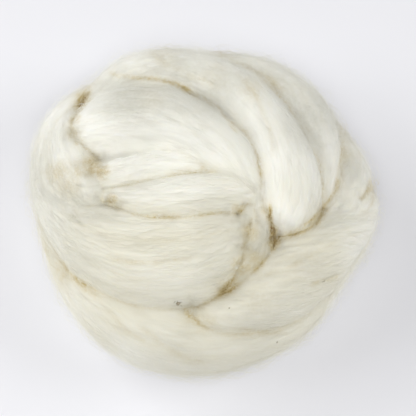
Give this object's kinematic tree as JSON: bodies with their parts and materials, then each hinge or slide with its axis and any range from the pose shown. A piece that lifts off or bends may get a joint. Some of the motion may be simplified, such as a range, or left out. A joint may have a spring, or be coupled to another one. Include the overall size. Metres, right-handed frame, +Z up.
{
  "type": "wool roving",
  "caption": "Loose bundle of natural cream wool roving: one thick, untwisted strand of combed fleece wound by hand into a low round nest of broad crossing turns.",
  "frame": {"origin": "on the surface that the bundle rests on, under the middle of its outline", "axes": "+Z up, -Y towards the side that the face with the crossed turns leans to, +X to the right from there"},
  "size_m": [0.1747, 0.1719, 0.0793],
  "materials": {
    "wool": "soft, fuzzy, matt fleece with a faint sheen along the fibres"
  },
  "bodies": {
    "root": {"roving": "wool"}
  },
  "joints": []
}
